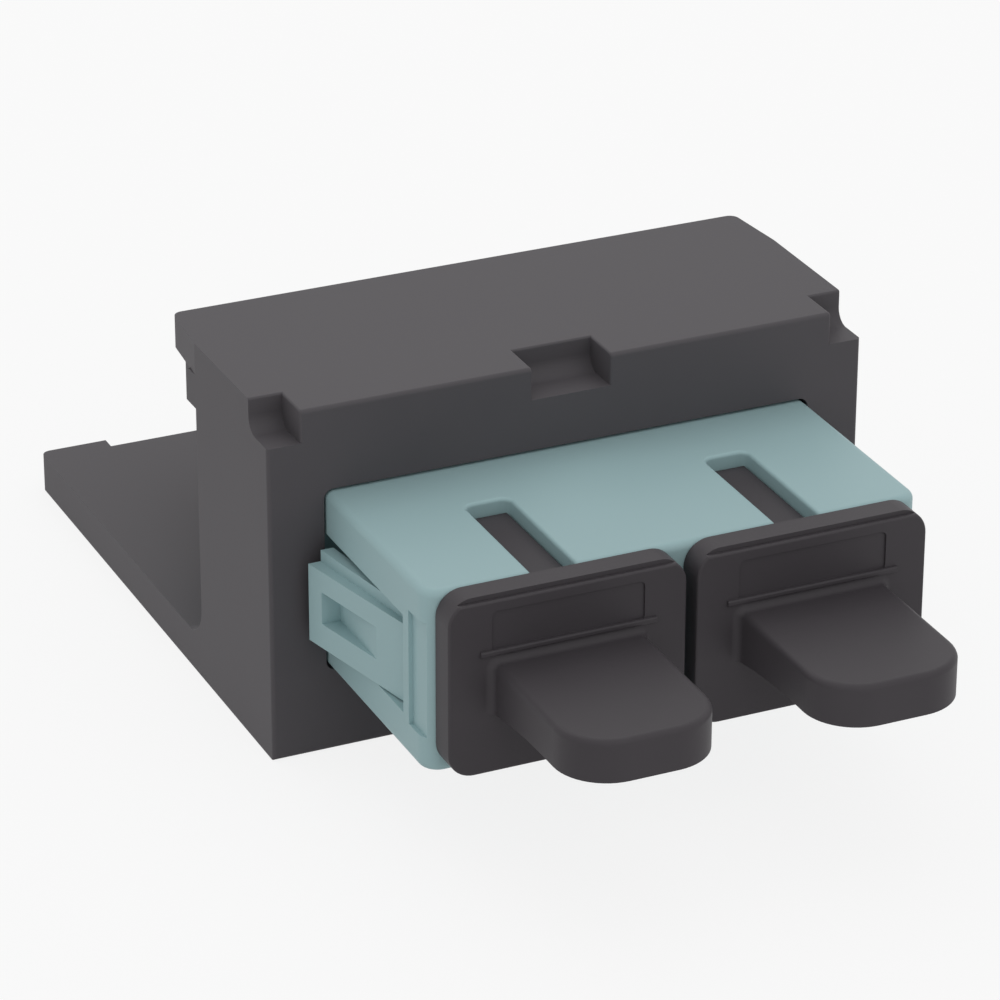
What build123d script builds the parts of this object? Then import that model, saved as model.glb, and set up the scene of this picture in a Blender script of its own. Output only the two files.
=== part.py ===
"""Duplex fibre adapter module: a moulded housing that carries a two-port adapter, closed by four dust caps.

X runs across the two ports, Y runs from the front ports to the rear ports and Z is up. The origin lies on the
face that the module rests on, under the middle of the adapter, where the two fibre ferrules meet.
"""

from build123d import *
import os

os.makedirs("parts", exist_ok=True)

FRONT = -1
REAR = 1
LEFT = -1
RIGHT = 1
SIDE_NAMES = {FRONT: "front", REAR: "rear"}
HAND_NAMES = {LEFT: "left", RIGHT: "right"}

# Adapter body, in two halves that meet at the middle
body_w = 25.8
body_h = 9.47
shell_half = 13.75
body_corner_r = 1.0
body_edge_r = 0.4
pitch = 12.7
port_xs = {LEFT: -pitch / 2, RIGHT: pitch / 2}

# Ports, with the key slot in the top wall and the seat of the inner holders
port_w = 9.1
port_h = 7.45
slot_w = 2.3
slot_stop = 5.92
slot_corner_r = 0.5
slot_edge_r = 0.18
seat_w = 10.1
seat_h = 8.2
seat_depth = 1.55
seat_clear = 0.05
seat_corner_r = 0.4

# Housing: an upright frame on a long bottom plate, with a lip along the top
face_t = 1.95
frame_depth = 9.45
side_t = 1.6
top_t = 2.6
plate_t = 2.1
plate_reach = 33.8
plate_root_r = 1.8
ear_w = 3.75
ear_step = 0.85
ear_r = 0.5
lip_t = 1.7
lip_reach = 3.88
lip_root_r = 0.9
lip_taper = 0.35
lip_corner_r = 0.5
catch_h = 2.35
catch_reach = 2.34
catch_bury = 1.0
catch_inset = 0.4
open_side_clear = 0.13
open_end_clear = 0.15
open_corner_r = 0.5
front_edge_r = 0.2

# Notches in the housing's top front edge
notch_depth = 2.34
notch_h = 1.69
corner_notch_w = 1.72
middle_notch_w = 4.2
notch_root_r = 0.8
notch_edge_r = 0.12

# Flange on the rear half, behind the housing's front wall
flange_t = 1.6
flange_step_x = 1.2
flange_step_z = 0.57
flange_r = 0.6
flange_clear = 0.2
over_clear = 1.34
under_clear = 1.85

# Side snap latches on the front half: arms that flare out towards the housing, each a plate with a pad on it
hinge_reach = 11.1
hinge_bury = 0.3
latch_tip_gap = 0.75
latch_flare = 1.3
latch_sink = 0.55
latch_bottom = 6.7
pad_top = 10.8
arm_top = 11.4
arm_tip_step = 0.65
arm_root_step = 0.3
arm_tip_t = 0.65
arm_root_t = 0.4
pocket_clear = 0.1
pocket_top = 11.75
window_bottom = 8.0
window_top = 9.7
window_start = 3.75
window_floor = 0.1
recess_start = 11.75
recess_bottom = 6.3
recess_top = 12.3
recess_depth = 0.22

# Split sleeve
sleeve_length = 11.4
sleeve_bore_r = 1.25
sleeve_wall = 0.35
sleeve_slit = 0.45

# Inner holder: base, sleeve barrel and two plug arms
holder_clear = 0.02
sleeve_clear_r = 0.12
sleeve_end_play = 0.15
barrel_wall = 0.73
barrel_lip_r = 1.5
barrel_lip_t = 0.7
arm_gap = 0.3
arm_t = 0.75
arm_h = 2.6
arm_reach = 8.6
hook_in = 0.6
hook_t = 0.9
hook_lead = 0.6

# Dust cap: flange with a ledge along its top, sill over the pull tab, and hollow insert with a key on it
cap_gap = 0.05
cap_between = 0.55
cap_h = 9.16
cap_top_above = 0.08
cap_corner_r = 1.3
cap_t = 1.49
cap_edge_r = 0.12
ledge_depth = 0.27
ledge_h = 0.25
panel_w = 7.8
panel_h = 2.1
panel_depth = 0.1
panel_corner_r = 0.3
sill_w = 9.0
sill_h = 0.3
sill_t = 0.16
sill_edge_r = 0.1
sill_under = 2.88
tab_w = 7.67
tab_length = 9.15
tab_top_under = 3.42
tab_tip_t = 2.13
tab_root_t = 2.65
tab_flat = 3.4
tab_tip_r = 2.6
tab_edge_r = 0.3
tab_root_r = 0.4
insert_side_clear = 0.1
insert_top_clear = 0.22
insert_wall = 0.9
insert_block = 3.0
insert_depth = 10.3
key_rise = 0.27
key_side_clear = 0.12
key_end_clear = 0.15

# Places that follow from the sizes above
body_bottom = plate_t + under_clear + flange_step_z
body_top = body_bottom + body_h
port_z = body_bottom + body_h / 2
cap_w = pitch - cap_between
housing_w = body_w + 2 * (flange_step_x + flange_clear + side_t)
housing_h = body_top + flange_step_z + over_clear + top_t
housing_front = -face_t
frame_back = housing_front + frame_depth
plate_back = housing_front + plate_reach
lip_back = frame_back + lip_reach
sleeve_r = sleeve_bore_r + sleeve_wall
barrel_bore_r = sleeve_r + sleeve_clear_r
barrel_r = barrel_bore_r + barrel_wall
barrel_stop = sleeve_length / 2 + sleeve_end_play
barrel_end = barrel_stop + barrel_lip_t


def across(side, reach, x=0.0):
    """Plane across the ports, `reach` from the middle on one side, that looks out of the ports."""
    return Plane(origin=(x, side * reach, port_z), x_dir=(-side, 0, 0), z_dir=(0, side, 0))


def cut_ports(side):
    """Cuts the two ports, their key slots and the holder seats into the shell that is being built."""
    with BuildSketch(across(side, 0)) as cavities:
        with Locations(*[(x, 0) for x in port_xs.values()]):
            Rectangle(port_w, port_h)
    extrude(cavities.sketch, amount=shell_half, mode=Mode.SUBTRACT)
    with BuildSketch(across(side, 0)) as seats:
        with Locations(*[(x, 0) for x in port_xs.values()]):
            Rectangle(seat_w, seat_h)
    extrude(seats.sketch, amount=seat_depth, mode=Mode.SUBTRACT)
    slot_length = shell_half - slot_stop
    with BuildSketch(Plane.XY.offset(body_top)) as slots:
        with Locations(*[(x, side * shell_half) for x in port_xs.values()]):
            RectangleRounded(slot_w, 2 * slot_length, slot_corner_r)
    extrude(slots.sketch, amount=-(body_h - port_h), mode=Mode.SUBTRACT)


def soften_slots(shell):
    """Rounds the rims of the key slots in the top of the shell that is being built."""
    for x in port_xs.values():
        rims = shell.edges().filter_by(lambda edge: abs(edge.center().Z - body_top) < slot_edge_r / 2)
        rims = rims.filter_by(lambda edge: slot_stop / 2 < abs(edge.center().Y) < shell_half - body_edge_r)
        fillet(rims.filter_by(lambda edge: abs(edge.center().X - x) < slot_w), radius=slot_edge_r)


def shell_body(shell, side):
    """Adds one half of the adapter's body, with its outer corners and edges rounded."""
    outward = Axis((0, 0, 0), (0, side, 0))
    with BuildSketch(across(side, 0)) as section:
        Rectangle(body_w, body_h)
    extrude(section.sketch, amount=shell_half)
    fillet(shell.edges().filter_by(Axis.Z).group_by(outward)[-1], radius=body_corner_r)
    rims = shell.faces().filter_by(Axis.Z).edges()
    fillet(rims.filter_by(lambda edge: abs(edge.center().Y) > body_corner_r), radius=body_edge_r)


# Housing: one moulding
with BuildPart() as housing:
    with BuildSketch(Plane.YZ) as side_profile:
        with BuildLine():
            Polyline(
                (housing_front, 0),
                (plate_back, 0),
                (plate_back, plate_t),
                (frame_back, plate_t),
                (frame_back, housing_h - lip_t),
                (lip_back, housing_h - lip_t),
                (lip_back, housing_h),
                (housing_front, housing_h),
                close=True,
            )
        make_face()
        fillet(side_profile.vertices().sort_by_distance((frame_back, plate_t))[0], radius=plate_root_r)
        lip_root = side_profile.vertices().sort_by_distance((frame_back, housing_h - lip_t))[0]
        fillet(lip_root, radius=lip_root_r)
    extrude(amount=housing_w / 2, both=True)
    # Softened outline of the front face
    fillet(housing.faces().sort_by(Axis.Y)[0].edges(), radius=front_edge_r)
    uprights = housing.edges().filter_by(Axis.Z)
    fillet(uprights.filter_by(lambda edge: edge.center().Y > plate_back - ear_step), radius=ear_r)
    # Sides of the lip drawn in towards its rear edge
    for hand in (LEFT, RIGHT):
        with BuildSketch(Plane.XY.offset(housing_h)) as taper:
            with BuildLine():
                Polyline(
                    (hand * housing_w / 2, frame_back),
                    (hand * housing_w / 2, lip_back),
                    (hand * (housing_w / 2 - lip_taper), lip_back),
                    close=True,
                )
            make_face()
        extrude(amount=-lip_t, mode=Mode.SUBTRACT)
    uprights = housing.edges().filter_by(Axis.Z).filter_by(lambda edge: edge.center().Z > plate_t)
    fillet(uprights.filter_by(lambda edge: edge.center().Y > lip_back - lip_corner_r), radius=lip_corner_r)
    # Hollow behind the front wall
    hollow_h = housing_h - top_t - plate_t
    with BuildSketch(Plane.XZ) as hollow:
        with Locations((0, plate_t + hollow_h / 2)):
            Rectangle(housing_w - 2 * side_t, hollow_h)
    extrude(amount=-plate_back, mode=Mode.SUBTRACT)
    # Catch along the underside of the lip
    with BuildSketch(Plane.XZ.offset(-(frame_back + catch_reach))) as catch:
        with Locations((0, housing_h - lip_t - catch_h / 2)):
            Rectangle(housing_w - 2 * catch_inset, catch_h)
    extrude(amount=catch_reach + catch_bury)
    # Opening that the adapter passes through
    with BuildSketch(Plane.XZ.offset(-housing_front)) as opening:
        with Locations((0, port_z)):
            RectangleRounded(body_w + 2 * open_side_clear, body_h + 2 * open_end_clear, open_corner_r)
    extrude(amount=-face_t, mode=Mode.SUBTRACT)
    # Notches in the top front edge
    notch_back = housing_front + notch_depth
    notch_floor = housing_h - notch_h
    with BuildSketch(Plane.XY.offset(housing_h)) as notches:
        with Locations((-housing_w / 2, housing_front), (housing_w / 2, housing_front)):
            Rectangle(2 * corner_notch_w, 2 * notch_depth)
        with Locations((0, housing_front)):
            Rectangle(middle_notch_w, 2 * notch_depth)
    extrude(amount=-notch_h, mode=Mode.SUBTRACT)
    roots = housing.edges().filter_by(Axis.X)
    roots = roots.filter_by(lambda edge: abs(edge.center().Y - notch_back) < notch_edge_r)
    roots = roots.filter_by(lambda edge: abs(edge.center().Z - notch_floor) < notch_edge_r)
    fillet(roots, radius=notch_root_r)
    notch_rims = housing.faces().sort_by(Axis.Z)[-1].edges()
    notch_rims = notch_rims.filter_by(lambda edge: edge.center().Y < notch_back + front_edge_r)
    notch_rims = notch_rims.filter_by(lambda edge: edge.center().Y > housing_front + 2 * front_edge_r)
    fillet(notch_rims, radius=notch_edge_r)
    # Shallow step between the plate's two rear ears
    with BuildSketch(Plane.XY) as ear_gap:
        with Locations((0, plate_back)):
            Rectangle(housing_w - 2 * ear_w, 2 * ear_step)
    extrude(amount=plate_t, mode=Mode.SUBTRACT)
housing.part.label = "module_housing"

# Front half of the adapter, with the side snap latches
with BuildPart() as front_shell:
    shell_body(front_shell, FRONT)
    cut_ports(FRONT)
    soften_slots(front_shell)
    latch_tip = face_t + latch_tip_gap
    arm_root = hinge_reach + hinge_bury
    for hand in (LEFT, RIGHT):
        wall_x = hand * body_w / 2
        tip_x = wall_x + hand * latch_flare
        root_x = wall_x - hand * latch_sink
        arm_tip_x = tip_x - hand * arm_tip_step
        arm_root_x = root_x - hand * arm_root_step
        pocket_depth = latch_sink + arm_root_step + arm_root_t + pocket_clear
        # Pocket in the side wall, which lets the arm bend in
        with BuildSketch(Plane.XY.offset(latch_bottom - pocket_clear)) as pocket:
            with Locations((wall_x, -(hinge_reach + face_t / 2) / 2)):
                Rectangle(2 * pocket_depth, hinge_reach - face_t / 2)
        extrude(amount=pocket_top - latch_bottom + pocket_clear, mode=Mode.SUBTRACT)
        # Arm, which leaves the pocket's front wall and flares out to its free end near the housing
        with BuildSketch(Plane.XY.offset(latch_bottom)) as arm_plan:
            with BuildLine():
                Polyline(
                    (arm_root_x, -arm_root),
                    (arm_root_x, -hinge_reach),
                    (arm_tip_x, -latch_tip),
                    (arm_tip_x - hand * arm_tip_t, -latch_tip),
                    (arm_root_x - hand * arm_root_t, -hinge_reach),
                    (arm_root_x - hand * arm_root_t, -arm_root),
                    close=True,
                )
            make_face()
        extrude(amount=arm_top - latch_bottom)
        # Pad along the arm's outer face, not as tall as the arm
        with BuildSketch(Plane.XY.offset(latch_bottom)) as pad_plan:
            with BuildLine():
                Polyline(
                    (root_x, -arm_root),
                    (root_x, -hinge_reach),
                    (tip_x, -latch_tip),
                    (arm_tip_x - hand * arm_tip_t / 2, -latch_tip),
                    (arm_root_x - hand * arm_root_t / 2, -hinge_reach),
                    (arm_root_x - hand * arm_root_t / 2, -arm_root),
                    close=True,
                )
            make_face()
        extrude(amount=pad_top - latch_bottom)
        # Window in the pad, with its floor parallel to the body, so it fades out towards the hinge
        with BuildSketch(Plane.XY.offset(window_bottom)) as window:
            window_x = wall_x + hand * (window_floor + latch_flare / 2)
            with Locations((window_x, -(window_start + hinge_reach) / 2)):
                Rectangle(latch_flare, hinge_reach - window_start)
        extrude(amount=window_top - window_bottom, mode=Mode.SUBTRACT)
        # Shallow recess between the pocket and the front corner
        with BuildSketch(Plane.XY.offset(recess_bottom)) as side_recess:
            with Locations((wall_x, -(recess_start + shell_half) / 2)):
                Rectangle(2 * recess_depth, shell_half - recess_start)
        extrude(amount=recess_top - recess_bottom, mode=Mode.SUBTRACT)
front_shell.part.label = "adapter_front_shell"

# Rear half of the adapter, with the flange behind the housing's front wall
with BuildPart() as rear_shell:
    shell_body(rear_shell, REAR)
    with BuildSketch(across(REAR, 0)) as flange:
        RectangleRounded(body_w + 2 * flange_step_x, body_h + 2 * flange_step_z, flange_r)
    extrude(amount=flange_t)
    cut_ports(REAR)
    soften_slots(rear_shell)
rear_shell.part.label = "adapter_rear_shell"


def inner_holder(label, side, x):
    """Holder that sits in a port: a base in the seat, a barrel round the sleeve and two arms for the plug."""
    start = across(side, holder_clear, x)
    base_end = seat_depth - seat_clear
    arm_x = port_w / 2 - arm_gap
    with BuildPart() as holder:
        with BuildSketch(start) as base:
            RectangleRounded(seat_w - 2 * seat_clear, seat_h - 2 * seat_clear, seat_corner_r)
        extrude(amount=base_end - holder_clear)
        with BuildSketch(start) as barrel:
            Circle(barrel_r)
        extrude(amount=barrel_end - holder_clear)
        with BuildSketch(start) as barrel_bore:
            Circle(barrel_bore_r)
        extrude(amount=barrel_stop - holder_clear, mode=Mode.SUBTRACT)
        with BuildSketch(start) as barrel_mouth:
            Circle(barrel_lip_r)
        extrude(amount=barrel_end - holder_clear, mode=Mode.SUBTRACT)
        for hand in (LEFT, RIGHT):
            outer_x = x + hand * arm_x
            inner_x = outer_x - hand * arm_t
            hook_x = inner_x - hand * hook_in
            with BuildSketch(Plane.XY.offset(port_z - arm_h / 2)) as arm_plan:
                with BuildLine():
                    Polyline(
                        (outer_x, side * base_end / 2),
                        (outer_x, side * arm_reach),
                        (inner_x, side * arm_reach),
                        (hook_x, side * (arm_reach - hook_lead)),
                        (hook_x, side * (arm_reach - hook_lead - hook_t)),
                        (inner_x, side * (arm_reach - hook_lead - hook_t)),
                        (inner_x, side * base_end / 2),
                        close=True,
                    )
                make_face()
            extrude(amount=arm_h)
    holder.part.label = label
    return holder.part


def split_sleeve(label, x):
    """Split sleeve across the adapter's middle, which aligns a ferrule from each side."""
    with BuildPart() as sleeve:
        with BuildSketch(across(REAR, 0, x)) as ring:
            Circle(sleeve_r)
            Circle(sleeve_bore_r, mode=Mode.SUBTRACT)
            with Locations((0, sleeve_r)):
                Rectangle(sleeve_slit, 2 * sleeve_r, mode=Mode.SUBTRACT)
        extrude(amount=sleeve_length / 2, both=True)
    sleeve.part.label = label
    return sleeve.part


def dust_cap(label, side, x):
    """Cap for one port: flange and pull tab outside, and a hollow insert that clears the holder."""
    mouth = across(side, shell_half + cap_gap, x)
    outward = Axis((0, 0, 0), (0, side, 0))
    lengthwise = Plane(origin=mouth.origin, x_dir=(0, side, 0), z_dir=(side, 0, 0))
    top_z = body_h / 2 + cap_top_above
    centre_z = top_z - cap_h / 2
    face_reach = shell_half + cap_gap + cap_t
    tab_top = top_z - tab_top_under
    tab_root = tab_top - tab_root_t
    tab_under = tab_top - tab_tip_t
    tab_end = cap_t + tab_length
    sill_z = top_z - sill_under
    insert_w = port_w - 2 * insert_side_clear
    insert_h = port_h - 2 * insert_top_clear
    key_h = insert_top_clear + key_rise
    key_length = shell_half + cap_gap - slot_stop - key_end_clear
    with BuildPart() as cap:
        # Flange, with a shallow ledge along the top of its face
        with BuildSketch(mouth) as flange_outline:
            with Locations((0, centre_z)):
                RectangleRounded(cap_w, cap_h, cap_corner_r)
        extrude(amount=cap_t)
        with BuildSketch(mouth.offset(cap_t)) as ledge:
            with Locations((0, top_z - ledge_h / 2)):
                Rectangle(cap_w, ledge_h)
        extrude(amount=-ledge_depth, mode=Mode.SUBTRACT)
        fillet(cap.faces().sort_by(outward)[-1].edges(), radius=cap_edge_r)
        # Pull tab, thick at the root and thin at the tip, blended into the flange
        with BuildSketch(lengthwise) as tab_profile:
            with BuildLine():
                Polyline(
                    (cap_t - ledge_depth, tab_root),
                    (cap_t - ledge_depth, tab_top),
                    (tab_end, tab_top),
                    (tab_end, tab_under),
                    (tab_end - tab_flat, tab_under),
                )
                TangentArc((tab_end - tab_flat, tab_under), (cap_t, tab_root), tangent=(-1, 0))
                Line((cap_t, tab_root), (cap_t - ledge_depth, tab_root))
            make_face()
        extrude(amount=tab_w / 2, both=True)
        fillet(cap.edges().filter_by(Axis.Z).group_by(outward)[-1], radius=tab_tip_r)
        tab_edges = cap.edges().filter_by(lambda edge: abs(edge.center().Y) > face_reach + tab_root_r)
        fillet(tab_edges.group_by(Axis.Z)[-1], radius=tab_edge_r)
        roots = cap.edges().filter_by(Axis.Z).sort_by_distance((x, side * face_reach, port_z + tab_root))[:2]
        fillet(roots, radius=tab_root_r)
        # Bare panel sunk into the face, and the sill along its lower edge
        with BuildSketch(mouth.offset(cap_t)) as panel:
            with Locations((0, sill_z + panel_h / 2)):
                RectangleRounded(panel_w, panel_h, panel_corner_r)
        extrude(amount=-panel_depth, mode=Mode.SUBTRACT)
        with BuildSketch(mouth.offset(cap_t - ledge_depth)) as sill:
            with Locations((0, sill_z)):
                Rectangle(sill_w, sill_h)
        extrude(amount=ledge_depth + sill_t)
        sill_edges = cap.edges().filter_by(Axis.X).filter_by(
            lambda edge: abs(abs(edge.center().Y) - face_reach - sill_t) < sill_edge_r)
        fillet(sill_edges.filter_by(lambda edge: edge.center().Z > port_z + tab_top), radius=sill_edge_r)
        # Insert: a hollow block at the mouth, and two plates that pass above and below the holder
        with BuildSketch(mouth) as insert_outline:
            Rectangle(insert_w, insert_h)
        extrude(amount=-insert_depth)
        with BuildSketch(mouth) as insert_hollow:
            Rectangle(insert_w - 2 * insert_wall, insert_h - 2 * insert_wall)
        extrude(amount=-insert_depth, mode=Mode.SUBTRACT)
        with BuildSketch(mouth.offset(-insert_block)) as insert_sides:
            Rectangle(insert_w + insert_wall, insert_h - 2 * insert_wall)
        extrude(amount=-(insert_depth - insert_block), mode=Mode.SUBTRACT)
        # Key on top of the insert, which lies in the port's slot
        with BuildSketch(mouth) as key:
            with Locations((0, (insert_h + key_h) / 2)):
                Rectangle(slot_w - 2 * key_side_clear, key_h)
        extrude(amount=-key_length)
    cap.part.label = label
    return cap.part


pieces = [housing.part, front_shell.part, rear_shell.part]
for hand, x in port_xs.items():
    pieces.append(split_sleeve(f"sleeve_{HAND_NAMES[hand]}", x))
    for side in (FRONT, REAR):
        pieces.append(inner_holder(f"{SIDE_NAMES[side]}_holder_{HAND_NAMES[hand]}", side, x))
        pieces.append(dust_cap(f"{SIDE_NAMES[side]}_cap_{HAND_NAMES[hand]}", side, x))

for piece in pieces:
    export_step(piece, f"parts/{piece.label}.step")
    print(piece.label, round(piece.volume, 2))
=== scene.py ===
# %% [markdown]
# A duplex fibre adapter module: a dark moulded housing that snaps into a panel, a grey aqua adapter through
# its front wall, and a near black dust cap on each of the four ports. The shapes come ready made from the
# CAD model, so this lesson gives them their plastics, their light and a camera. One metre in Blender is one
# metre on the part, so a millimetre is 0.001. Nothing in this script stretches or moves the model.

import bmesh
import bpy
from mathutils import Matrix, Vector

MM = 0.001
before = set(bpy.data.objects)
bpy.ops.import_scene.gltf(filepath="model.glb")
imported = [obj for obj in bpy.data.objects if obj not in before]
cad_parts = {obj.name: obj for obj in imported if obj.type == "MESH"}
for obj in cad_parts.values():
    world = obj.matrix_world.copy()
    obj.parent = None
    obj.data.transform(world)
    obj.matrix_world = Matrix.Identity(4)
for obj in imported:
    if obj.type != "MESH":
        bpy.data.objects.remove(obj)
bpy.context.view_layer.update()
print("nodes:", ", ".join(sorted(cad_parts)))

# %% [markdown]
# The module is looked at from the front left and from above, through a long lens, so its parallel edges
# stay nearly parallel. A camera could be turned by three angles, but angles are hard to read back. Its
# matrix says the same more plainly: the columns are the camera's right, its up and its back, each a unit
# vector, and the last column is its place. Back is right crossed with up, so only two of the three are
# written.

# %% Camera
lens_length = 170.045
film_width = 36
camera_place = Vector((-89.485, -190.18, 112.314)) * MM
camera_right = Vector((0.910619, -0.413239, 0.002488))
camera_up = Vector((0.178616, 0.399014, 0.89938))
camera_back = camera_right.cross(camera_up)

camera_data = bpy.data.cameras.new("camera")
camera_data.sensor_width = film_width
camera_data.lens = lens_length
camera_data.clip_start = 0.01
camera_data.clip_end = 20
camera = bpy.data.objects.new("camera", camera_data)
bpy.context.scene.collection.objects.link(camera)
turn = Matrix((camera_right, camera_up, camera_back)).transposed()
camera.matrix_world = Matrix.Translation(camera_place) @ turn.to_4x4()
bpy.context.scene.camera = camera
print("camera is", round(camera_place.length, 4), "m from the origin")

# %% [markdown]
# Moulded plastic is one colour all through, but its surface never is. It has a fine grain from the spark-
# eroded mould, slow changes of shade where the melt flowed, and a gloss that wanders a little. An image
# could show all that, but it would blur close up. Two noise textures on Object coordinates stay sharp and
# stay fixed to the piece: a slow one for shade and gloss, and a fine one for the grain. The grain also
# scatters what a flat skin would mirror, so the gloss level is set below the usual one half. One helper
# builds every plastic here, because they differ only in colour, gloss and grain.

# %% A helper for the plastics
FLOW_SCALE = 140
FLOW_DETAIL = 3
GRAIN_DETAIL = 2
GRAIN_STRENGTH = 0.35
GLOSS_SPREAD = 0.04
GLOSS_LEVEL = 0.2


def plastic(name, low, high, roughness, grain_size, grain_depth):
    """A moulded plastic whose colour wanders between low and high, with a fine grain in its surface."""
    material = bpy.data.materials.new(name)
    material.use_nodes = True
    nodes = material.node_tree.nodes
    links = material.node_tree.links
    shader = nodes["Principled BSDF"]
    shader.inputs["Specular IOR Level"].default_value = GLOSS_LEVEL
    place = nodes.new("ShaderNodeTexCoord")

    flow = nodes.new("ShaderNodeTexNoise")
    flow.inputs["Scale"].default_value = FLOW_SCALE
    flow.inputs["Detail"].default_value = FLOW_DETAIL
    links.new(place.outputs["Object"], flow.inputs["Vector"])
    shade = nodes.new("ShaderNodeMix")
    shade.data_type = "RGBA"
    shade.inputs["A"].default_value = (*low, 1)
    shade.inputs["B"].default_value = (*high, 1)
    links.new(flow.outputs["Fac"], shade.inputs["Factor"])
    links.new(shade.outputs["Result"], shader.inputs["Base Color"])

    gloss = nodes.new("ShaderNodeMapRange")
    gloss.inputs["To Min"].default_value = roughness - GLOSS_SPREAD
    gloss.inputs["To Max"].default_value = roughness + GLOSS_SPREAD
    links.new(flow.outputs["Fac"], gloss.inputs["Value"])
    links.new(gloss.outputs["Result"], shader.inputs["Roughness"])

    grain = nodes.new("ShaderNodeTexNoise")
    grain.inputs["Scale"].default_value = 1 / grain_size
    grain.inputs["Detail"].default_value = GRAIN_DETAIL
    links.new(place.outputs["Object"], grain.inputs["Vector"])
    bump = nodes.new("ShaderNodeBump")
    bump.inputs["Strength"].default_value = GRAIN_STRENGTH
    bump.inputs["Distance"].default_value = grain_depth
    links.new(grain.outputs["Fac"], bump.inputs["Height"])
    links.new(bump.outputs["Normal"], shader.inputs["Normal"])
    print(name, "has", len(nodes), "nodes")
    return material


# %% [markdown]
# The housing is a tough dark grey plastic with a faint purple cast and a satin surface. It is dark but not
# black: its flat top comes out clearly paler than its front, which a pure black could never show.

# %% Housing plastic
housing_plastic = plastic("housing_plastic", low=(0.077, 0.0715, 0.078), high=(0.091, 0.0845, 0.092),
                          roughness=0.55, grain_size=0.22 * MM, grain_depth=0.008 * MM)

# %% [markdown]
# The adapter is grey aqua, the colour that marks this grade of fibre. It is a smoother and shinier moulding
# than the housing, so its grain is shallower and its roughness lower, but its colour is just as even.

# %% Adapter plastic
adapter_plastic = plastic("adapter_plastic", low=(0.338, 0.490, 0.508), high=(0.358, 0.515, 0.533),
                          roughness=0.45, grain_size=0.4 * MM, grain_depth=0.003 * MM)

# %% [markdown]
# The dust caps are a softer plastic, one step darker than the housing. The step is small, so both colours
# are written down and not one as a share of the other, and each can be matched by itself.

# %% Cap plastic
cap_plastic = plastic("cap_plastic", low=(0.052, 0.0465, 0.052), high=(0.063, 0.057, 0.063),
                      roughness=0.5, grain_size=0.2 * MM, grain_depth=0.007 * MM)

# %% [markdown]
# Two kinds of piece show only when a cap is pulled: the pale grey holders that grip a plug, and the split
# sleeves in their barrels. The sleeves are polished ceramic. It takes no grain that an eye could see, so
# the same helper serves with a very low roughness and almost no depth.

# %% Holder plastic and sleeve ceramic
holder_plastic = plastic("holder_plastic", low=(0.62, 0.64, 0.64), high=(0.70, 0.72, 0.72),
                         roughness=0.4, grain_size=0.4 * MM, grain_depth=0.003 * MM)
sleeve_ceramic = plastic("sleeve_ceramic", low=(0.82, 0.81, 0.78), high=(0.87, 0.86, 0.83),
                         roughness=0.15, grain_size=0.6 * MM, grain_depth=0.001 * MM)

# %% [markdown]
# A mesh shows the material in its first slot. The names of the pieces say what each is moulded in, so a
# short table of words does for all thirteen, and a piece that is added later gets its finish from its name.

# %% Give each piece its finish
finish_of = {
    "housing": housing_plastic,
    "adapter": adapter_plastic,
    "cap": cap_plastic,
    "holder": holder_plastic,
    "sleeve": sleeve_ceramic,
}
for node_name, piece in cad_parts.items():
    for word, finish in finish_of.items():
        if word in node_name:
            piece.data.materials.clear()
            piece.data.materials.append(finish)
            print(node_name, "->", finish.name)

# %% [markdown]
# The background is white, but more light on the module would not be the way to get there. A ray knows what
# sent it, so the floor and the world can be white to the rays that look at them, straight from the camera
# or by way of a shiny or clear surface, and stay plain surfaces to the rays that carry light. Light Path
# tells the rays apart, and two Maximum nodes join the three kinds that look.

# %% A helper for the rays that look
def looking_rays(nodes, links):
    """A socket that is 1 for a camera, glossy or transmission ray and 0 for the rest."""
    path = nodes.new("ShaderNodeLightPath")
    straight_or_glossy = nodes.new("ShaderNodeMath")
    straight_or_glossy.operation = "MAXIMUM"
    links.new(path.outputs["Is Camera Ray"], straight_or_glossy.inputs[0])
    links.new(path.outputs["Is Glossy Ray"], straight_or_glossy.inputs[1])
    any_look = nodes.new("ShaderNodeMath")
    any_look.operation = "MAXIMUM"
    links.new(straight_or_glossy.outputs["Value"], any_look.inputs[0])
    links.new(path.outputs["Is Transmission Ray"], any_look.inputs[1])
    return any_look.outputs["Value"]


# %% [markdown]
# The floor is a wide pale sheet from one grid operator. Where it is looked at, most of what shows is white
# glow, and the rest is the sheet itself, so the module's soft shadow still lies on it. It sits a hair below
# the module's underside, because two flat faces in one place flicker.

# %% Floor
floor_reach = 3
floor_drop = 0.05 * MM
floor_glow_share = 0.85
floor_grey = (0.8, 0.8, 0.8, 1)
floor_roughness = 0.9
floor_mesh = bpy.data.meshes.new("floor")
floor_sheet = bmesh.new()
bmesh.ops.create_grid(floor_sheet, x_segments=1, y_segments=1, size=floor_reach,
                      matrix=Matrix.Translation((0, 0, -floor_drop)))
floor_sheet.to_mesh(floor_mesh)
floor_sheet.free()
floor = bpy.data.objects.new("floor", floor_mesh)
bpy.context.scene.collection.objects.link(floor)

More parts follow.
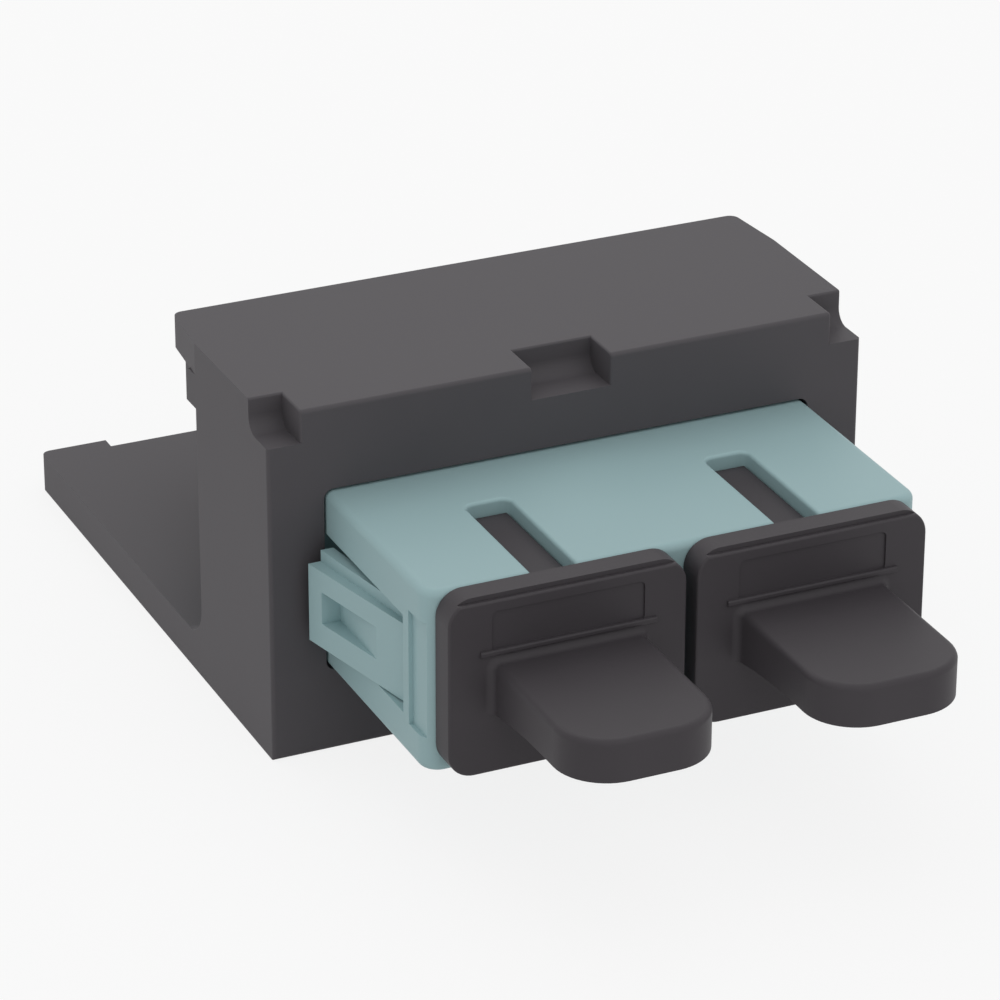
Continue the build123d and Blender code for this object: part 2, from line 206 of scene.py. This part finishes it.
floor_paint = bpy.data.materials.new("floor_paint")
floor_paint.use_nodes = True
floor_nodes = floor_paint.node_tree.nodes
floor_links = floor_paint.node_tree.links
floor_shader = floor_nodes["Principled BSDF"]
floor_shader.inputs["Base Color"].default_value = floor_grey
floor_shader.inputs["Roughness"].default_value = floor_roughness
white_glow = floor_nodes.new("ShaderNodeEmission")
floor_share = floor_nodes.new("ShaderNodeMath")
floor_share.operation = "MULTIPLY"
floor_share.inputs[1].default_value = floor_glow_share
floor_mix = floor_nodes.new("ShaderNodeMixShader")
floor_links.new(looking_rays(floor_nodes, floor_links), floor_share.inputs[0])
floor_links.new(floor_share.outputs["Value"], floor_mix.inputs["Fac"])
floor_links.new(floor_shader.outputs["BSDF"], floor_mix.inputs[1])
floor_links.new(white_glow.outputs["Emission"], floor_mix.inputs[2])
floor_links.new(floor_mix.outputs["Shader"], floor_nodes["Material Output"].inputs["Surface"])
floor_mesh.materials.append(floor_paint)
print("floor is", floor.dimensions.x, "m wide")

# %% [markdown]
# Most of the light is a pale world all round, as in a white photo tent, so no side of the module goes
# black. The world is plain white where it is looked at, and a little dimmer as light, with the same helper
# as the floor.

# %% World
world_light = 0.62
world_looked_at = 1.0
white = (1, 1, 1, 1)
world = bpy.data.worlds.new("studio")
bpy.context.scene.world = world
world.use_nodes = True
world_nodes = world.node_tree.nodes
world_links = world.node_tree.links
background = world_nodes["Background"]
background.inputs["Color"].default_value = white
level = world_nodes.new("ShaderNodeMapRange")
level.inputs["To Min"].default_value = world_light
level.inputs["To Max"].default_value = world_looked_at
world_links.new(looking_rays(world_nodes, world_links), level.inputs["Value"])
world_links.new(level.outputs["Result"], background.inputs["Strength"])
bpy.context.scene.view_settings.view_transform = "Standard"
print("world level as light:", world_light)

# %% [markdown]
# A tent alone leaves everything flat. Three wide lamps above, behind and in front make the faces that look
# up clearly paler than the upright ones, which is how the eye reads the steps of this small part. A lamp
# that is wide for its distance gives soft shadows, so one square lamp is written once and placed three
# times.

# %% Lamps
lit_point = Vector((0, 5, 10)) * MM


def soft_lamp(name, place, size, power):
    """A square lamp that faces the middle of the module."""
    data = bpy.data.lights.new(name, "AREA")
    data.size = size
    data.energy = power
    lamp = bpy.data.objects.new(name, data)
    bpy.context.scene.collection.objects.link(lamp)
    lamp.location = place
    lamp.rotation_euler = (lit_point - lamp.location).to_track_quat("-Z", "Y").to_euler()
    print(name, "is", round((lit_point - lamp.location).length, 2), "m away")


soft_lamp("top_lamp", (0.0, 0.1, 0.8), size=0.8, power=0.8)
soft_lamp("back_lamp", (0.1, 0.7, 0.6), size=0.8, power=0.8)
soft_lamp("front_lamp", (0.1, -0.7, 0.6), size=0.7, power=0.8)
